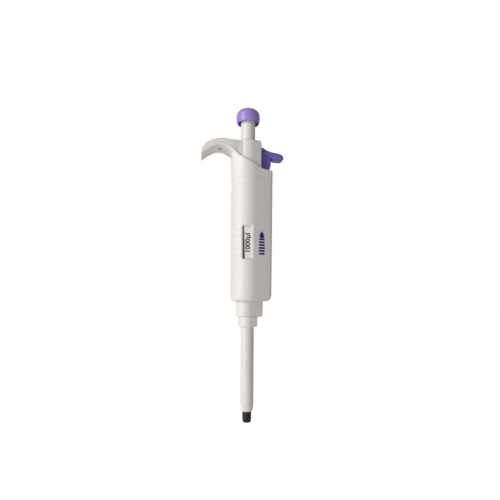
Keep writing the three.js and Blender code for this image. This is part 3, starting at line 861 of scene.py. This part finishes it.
def ejector_sleeve():
    """The sleeve as one grid of rings: up the tube, out to the step and the collar, and back inside."""
    end, top = SLEEVE_LOW[2], SLEEVE_HIGH[2]
    collar, collar_normals = teardrop(**COLLAR)
    collar = collar + [COLLAR_CENTRE, 0]
    step, step_normals = teardrop(**STEP)
    tube, tube_normals = circle_like(collar, TUBE_RADIUS)

    def circle(radius, z):
        return ring(circle_like(collar, radius)[0], z)

    rings = [circle(3.85, end + 1.0), circle(3.9, end), circle(4.2, end)]
    lip = spline([
        (4.2, end), (4.42, end + 0.25), (4.62, end + 1.2), (4.88, end + 2.6), (5.08, end + 4.0),
        (TUBE_RADIUS, end + 5.4),
    ], steps=4)
    rings += [circle(radius, z) for radius, z in lip[1:]]
    rings += [ring(tube, z) for z in np.linspace(15, 73, 12)]
    fillet = [(0, 73.2), (0.1, 73.42), (0.3, STEP_BOTTOM)]
    rings += [ring(tube + tube_normals * out, z) for out, z in fillet]
    rings += edge_rings(step, step_normals, STEP_BOTTOM, 0.7, 1)
    wall = [(0, 74.4), (0, 80.6), (0, 80.85), (0.12, COLLAR_BOTTOM)]
    rings += [ring(step + step_normals * out, z) for out, z in wall]

    def lean(z):
        return collar_normals * 0.35 * (top - z) / (top - COLLAR_BOTTOM)

    rings += edge_rings(collar - lean(COLLAR_BOTTOM), collar_normals, COLLAR_BOTTOM, 1.3, 1, steps=8)
    rings += [ring(collar - lean(z), z) for z in (82.5, 85, 89, top - 0.6)]
    rings += edge_rings(collar, collar_normals, top, 0.3, -1)[::-1]
    bores = [(7.1, top), (7.1, 81.3), (6.25, 81.1), (6.25, 74.9), (4.4, 74.8), (4.4, 14)]
    rings += [circle(radius, z) for radius, z in bores]
    return skin(rings, loop=True)


def tip_cone():
    """The black nozzle, turned: rounded end, sealing ridge, a faint shoulder, and the long cone above."""
    return turned(rounded([
        (1.2, 20, 0), (1.2, 0, 0.3), (3.3, 0, 0.9), (3.42, 2.9, 0.3), (3.62, 3.4, 0.3), (3.62, 3.9, 0.3),
        (3.44, 4.4, 0.3), (3.54, 5.0, 0.3), (3.54, 12, 0.5), (4.05, 15.5, 0.5), (4.05, 75.2, 0),
        (6.1, 77.2, 0.2), (6.1, 79.0, 0.2), (5.35, 79.0, 0), (5.35, 79.8, 0.1), (4.6, 79.8, 0.1),
        (4.6, 81.0, 0.1), (5.35, 81.0, 0.1), (5.35, 82.0, 0.2), (3.2, 82.0, 0), (1.2, 78.0, 0), (1.2, 20, 0),
    ], steps=5)[:-1], sides=96)


# ------------------------------------------------------------------ window, label and print


LENS_DEPTH = (-11.05, -10.6)        # front and back of the pane along the window's direction
LABEL_DEPTH = (-10.5, -10.3)
PANE_SIDES = (-3.98, 2.45)          # left and right edges, across the window's direction
LABEL_SIDES = (PANE_SIDES[0] - 0.1, PANE_SIDES[1] + 0.3)
TEXT_MIDDLE = (0.15, 136.8)         # the figures' middle: across the window, and its height
TEXT_SIZE = (4.7, 14.0)             # how far the figures reach across the window, and along z
SHADOW_STRIPE_EDGE = (-2.25, -3.05)        # right edge of the painted shadow stripe down the label's left side, at the bottom and at the top

BARS = 6
BAR_MIDDLE = 5.85                   # middle of the printed bars, along the flat from where it starts
BAR_HALF = (2.7, 0.72)              # half length and half height of the longest bar
BAR_BOTTOM = 128.6                  # height of the lowest bar's middle
BAR_PITCH = 2.15
DROP_HEIGHT = 142.8                 # height of the printed drop's middle


def plate(left, right, depth, low, high, radius=0.25):
    """A flat plate with rounded edges, as rounded rectangles stacked along the window's direction."""
    share = np.array([0, 0.02, 0.1, 0.9, 0.98, 1])
    shrink = radius * 0.4 * np.array([1, 0.35, 0, 0, 0.35, 1])
    tall = (high - low) / 2
    half = (right - left) / 2 - shrink
    across, rise = box_sections(half, -tall + shrink, tall - shrink, radius, radius, flat=5)
    u = (left + right) / 2 + across
    v = np.broadcast_to((depth[0] + (depth[1] - depth[0]) * share)[:, None], u.shape)
    x, y = np.moveaxis(turn_out(np.stack([u, v], -1)), -1, 0)
    return skin(np.stack([x, y, (low + high) / 2 + rise], -1))


def volume_text():
    """The volume, in plain figures that read upwards, standing on the label as a film of ink."""
    curve = bpy.data.curves.new("volume_text", "FONT")
    curve.body = "1000µl"
    curve.size = 5.0 * MM
    curve.extrude = 0.015 * MM
    curve.offset = 0.2 * MM
    curve.align_x = "CENTER"
    curve.align_y = "CENTER"
    lettering = bpy.data.objects.new("volume_text", curve)
    bpy.context.scene.collection.objects.link(lettering)
    seen = lettering.evaluated_get(bpy.context.evaluated_depsgraph_get())
    mesh = bpy.data.meshes.new_from_object(seen)
    bpy.data.objects.remove(lettering)
    flat = np.zeros(len(mesh.vertices) * 3)
    mesh.vertices.foreach_get("co", flat)
    flat = flat.reshape(-1, 3) / MM
    length, height = np.ptp(flat[:, 0]), np.ptp(flat[:, 1])
    centre = (flat.max(0) + flat.min(0)) / 2
    z = TEXT_MIDDLE[1] + (flat[:, 0] - centre[0]) * TEXT_SIZE[1] / length
    u = TEXT_MIDDLE[0] - (flat[:, 1] - centre[1]) * TEXT_SIZE[0] / height
    v = LABEL_DEPTH[0] - 0.02 - flat[:, 2]
    place = np.column_stack([turn_out(np.stack([u, v], 1)), z])
    mesh.vertices.foreach_set("co", world(place).ravel())
    mesh.materials.append(black_print_and_shadow())
    made = bpy.data.objects.new("volume_figures", mesh)
    bpy.context.scene.collection.objects.link(made)
    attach(made, "handle")


def painted_gap_shadow():
    """A painted shadow down the label's left side: a dark stripe, wider towards the bottom, that stands in
    for the shade in the gap between the window's left wall and the label, as a film of ink.
    """
    z = np.array([WINDOW_BOTTOM - 0.5, WINDOW_TOP + 0.5])
    left = PANE_SIDES[0] - 0.05
    layers = []
    for depth in (0.01, 0.03):
        u = np.array([left, *SHADOW_STRIPE_EDGE, left])
        v = np.full(4, LABEL_DEPTH[0] - depth)
        layers.append(np.column_stack([turn_out(np.stack([u, v], 1)), z[[0, 0, 1, 1]]]))
    return skin(layers)


def printed_mark():
    """A generic mark on the grip's flat side: a drop above a ladder of bars, as a film of ink.

    Each bar is a superellipse on the flat, which leans in by the section's taper. The drop is
    2.6 sin(t) ((1 - cos(t)) / 2)^0.6 wide and 2.7 cos(t) high.
    """
    slope = math.radians(GRIP["taper"])
    along = np.array([math.cos(slope), math.sin(slope)])
    out = np.array([math.sin(slope), -math.cos(slope)])
    start = GRIP_RADIUS * out
    skins = []
    turn = np.linspace(0, 2 * np.pi, 32, endpoint=False)

    def film(u, z):
        base = start + u[:, None] * along
        layers = [ring(base + out * lift, z) for lift in (-0.05, 0.02, 0.03)]
        skins.append(skin(layers))

    wide = np.sign(np.cos(turn)) * np.abs(np.cos(turn)) ** 0.35
    high = np.sign(np.sin(turn)) * np.abs(np.sin(turn)) ** 0.6
    for row in range(BARS):
        length = BAR_HALF[0] - 0.12 * abs(row - 2)
        film(BAR_MIDDLE + length * wide, BAR_BOTTOM + BAR_PITCH * row + BAR_HALF[1] * high)
    drop = 2.6 * np.sin(turn) * (0.5 - 0.5 * np.cos(turn)) ** 0.6
    film(BAR_MIDDLE + drop, DROP_HEIGHT + 2.7 * np.cos(turn))
    return merged(*skins)


# ------------------------------------------------------------------ springs and screw


def spring(radius, wire, low, high, turns, centre=0.0):
    """A round wire carried along a helix whose pitch closes up at both ends.

    Its height goes as t - 0.75 sin(2 pi t) / (2 pi).
    """
    t = np.linspace(0, 1, int(turns * 28) + 1)
    angle = 2 * np.pi * turns * t
    eased = t - 0.75 * np.sin(2 * np.pi * t) / (2 * np.pi)
    height = low + wire + (high - low - 2 * wire) * eased
    path = np.stack([centre + radius * np.cos(angle), radius * np.sin(angle), height], 1)
    forward = np.gradient(path, axis=0)
    forward /= np.linalg.norm(forward, axis=1)[:, None]
    out = np.stack([np.cos(angle), np.sin(angle), 0 * angle], 1)
    up = np.cross(forward, out)
    ring_angle = np.linspace(0, 2 * np.pi, 12, endpoint=False)[None, :, None]
    around = np.cos(ring_angle) * out[:, None] + np.sin(ring_angle) * up[:, None]
    return skin(path[:, None] + wire * around)


def add_spring(node, radius, wire, turns):
    """A spring that replaces its CAD solid and has a mesh of its own."""
    low, high = cad_mm(node)
    centre = (low[0] + high[0]) / 2
    coil = spring(radius, wire, low[2], high[2], turns, centre)
    made = piece(node + "_coil", coil, "handle", "steel_parts", STEEL, node)
    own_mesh(made)


def hook_screw():
    """The self-tapping screw in the hook: a rounded head with a dimple, and a ridged shank."""
    low, high = SCREW_LOW[2], SCREW_HIGH[2]
    radius = SCREW_HIGH[0] - SCREW_X
    ridges = [(0.75 if k % 2 else 0.6, low + 0.95 + 0.25 * k, 0) for k in range(11)]
    return turned(rounded([
        (0, low + 0.45, 0), (0.35, low + 0.3, 0.1), (0.5, low, 0.1), (radius, low + 0.1, 0.3),
        (radius, low + 0.8, 0.1), *ridges, (0, high, 0),
    ], steps=3), sides=32, centre=SCREW_X)


# ------------------------------------------------------------------ pieces

piece("grip_shell", grip_shell(), "handle", "white_shell", WHITE, "handle_body")
lower_hook = piece("hook_shell", hook_shell(), "handle", "white_shell", WHITE, "handle_body")
screw_recess(lower_hook)
piece("neck_and_cover", merged(neck(), hook_cover()), "handle", "white_shell", WHITE, "head_cover")
pane = plate(*PANE_SIDES, LENS_DEPTH, LENS_LOW[2], LENS_HIGH[2])
label = plate(*LABEL_SIDES, LABEL_DEPTH, LABEL_LOW[2], LABEL_HIGH[2])
piece("window_pane", pane, "handle", "window_pane", clear_polycarbonate(), "window_lens")
# painted shadow: a film of black ink down the label's left side stands in for the shade in the gap beside
# the label
piece("painted_gap_shadow", painted_gap_shadow(), "handle", "label_film", black_print_and_shadow())
piece("label_plate", label, "handle", "label_film", label_film(), "volume_label")
volume_text()
piece("printed_mark", printed_mark(), "handle", "violet_lever", violet_ink())
piece("self_tapping_screw", hook_screw(), "handle", "steel_parts", near_black_steel(), "hook_screw")
piece("thumb_button", push_button(), "plunger", "lilac_button", lilac_abs(), "push_button")
piece("plunger_tube", plunger_rod(), "plunger", "white_shell", WHITE, "plunger_rod")
piece("ejector_lever", ejector_lever(), "ejector", "violet_lever", violet_abs(), "ejector_button")
piece("stepped_sleeve", ejector_sleeve(), "ejector", "white_shell", WHITE, "ejector_sleeve")
piece("nozzle_cone", tip_cone(), "handle", "black_nozzle", black_pvdf(), "tip_cone")
add_spring("return_spring", radius=6.9, wire=0.5, turns=9)
add_spring("blowout_spring", radius=6.6, wire=0.6, turns=4)
add_spring("ejector_spring", radius=2.2, wire=0.35, turns=14)

KEPT_NODES = {
    "guide_bush": ACETAL, "piston_seal": ACETAL, "seal_retainer": ACETAL, "spring_cap": ACETAL,
    "inner_tube": GREY, "cylinder": GREY, "seal_o_ring": RUBBER, "cone_o_ring": RUBBER,
    "push_shaft": STEEL, "shaft_clip": STEEL, "piston": STEEL, "blowout_washer": STEEL,
    "ejector_rod": STEEL, "calibration_nut": turned_brass(),
}
for name, material in KEPT_NODES.items():
    slots = frame["nodes"][name].data.materials
    slots.clear()
    slots.append(material)

# ------------------------------------------------------------------ floor, light and camera

FLOOR_GLOW = 0.14           # how strongly the floor lights the pipette
SURROUND_LIGHT = 0.22       # how strongly the surround does

def pale_floor():
    """A wide plain floor some way below the nozzle."""
    bpy.ops.mesh.primitive_plane_add(size=8, location=world([0, 0, -62]))
    floor = bpy.context.object
    floor.name = "floor"
    material = bpy.data.materials.new("pale_floor")
    material.use_nodes = True
    shader = material.node_tree.nodes["Principled BSDF"]
    shader.inputs["Base Color"].default_value = linear("#F0F0F0")
    shader.inputs["Roughness"].default_value = 0.9
    shader.inputs["Emission Color"].default_value = linear("#FFFFFF")
    path = add(material.node_tree, "ShaderNodeLightPath")
    share = {"Value": path.outputs["Is Camera Ray"], "To Min": FLOOR_GLOW, "To Max": 1.0}
    glow = add(material.node_tree, "ShaderNodeMapRange", share)
    material.node_tree.links.new(glow.outputs["Result"], shader.inputs["Emission Strength"])
    floor.data.materials.append(material)


def soft_light(name, azimuth, elevation, distance, size, watts):
    """A rectangular softbox that faces the middle of the pipette."""
    lamp = bpy.data.lights.new(name, "AREA")
    lamp.shape = "RECTANGLE"
    lamp.size, lamp.size_y = size
    lamp.energy = watts
    holder = bpy.data.objects.new(name, lamp)
    bpy.context.scene.collection.objects.link(holder)
    a, e = math.radians(azimuth), math.radians(elevation)
    away = np.array([math.sin(a) * math.cos(e), -math.cos(a) * math.cos(e), math.sin(e)])
    target = world([0, 0, 150])
    holder.location = target + away * distance
    holder.rotation_euler = Vector(away).to_track_quat("Z", "Y").to_euler()


def white_surround():
    """A world that the camera sees as white and that lights the pipette softly from all sides."""
    scene_world = bpy.data.worlds.new("surround")
    bpy.context.scene.world = scene_world
    scene_world.use_nodes = True
    tree = scene_world.node_tree
    tree.nodes.clear()
    seen = add(tree, "ShaderNodeBackground", {"Color": linear("#FFFFFF"), "Strength": 1.0})
    light = add(tree, "ShaderNodeBackground", {"Color": linear("#FFFFFF"), "Strength": SURROUND_LIGHT})
    path = add(tree, "ShaderNodeLightPath")
    inputs = {0: path.outputs["Is Camera Ray"], 1: light.outputs[0], 2: seen.outputs[0]}
    mix = add(tree, "ShaderNodeMixShader", inputs)
    add(tree, "ShaderNodeOutputWorld", {"Surface": mix.outputs[0]})


def level_camera():
    """A level camera a forearm's length away, a little to the hook's side, with its frame shifted up."""
    turn = math.radians(-8.0)
    distance, eye_height, aside = 330.0, 93.9, 2.08
    sensor, view_width = 36, 385        # of the camera, and of what it sees at the pipette
    toward = np.array([-math.sin(turn), math.cos(turn), 0])
    right = np.array([math.cos(turn), math.sin(turn), 0])
    camera = bpy.data.objects.new("camera", bpy.data.cameras.new("camera"))
    bpy.context.scene.collection.objects.link(camera)
    camera.location = world(-toward * distance + right * aside + [0, 0, eye_height])
    camera.rotation_euler = (math.pi / 2, math.radians(-0.27), turn)
    camera.data.sensor_width = sensor
    camera.data.lens = sensor * distance / view_width
    camera.data.shift_y = 0.1
    camera.data.clip_start = 0.01
    bpy.context.scene.camera = camera


pale_floor()
soft_light("key_left", azimuth=-58, elevation=12, distance=0.9, size=(0.5, 0.9), watts=6.2)
white_surround()
level_camera()
bpy.context.scene.view_settings.view_transform = "Standard"
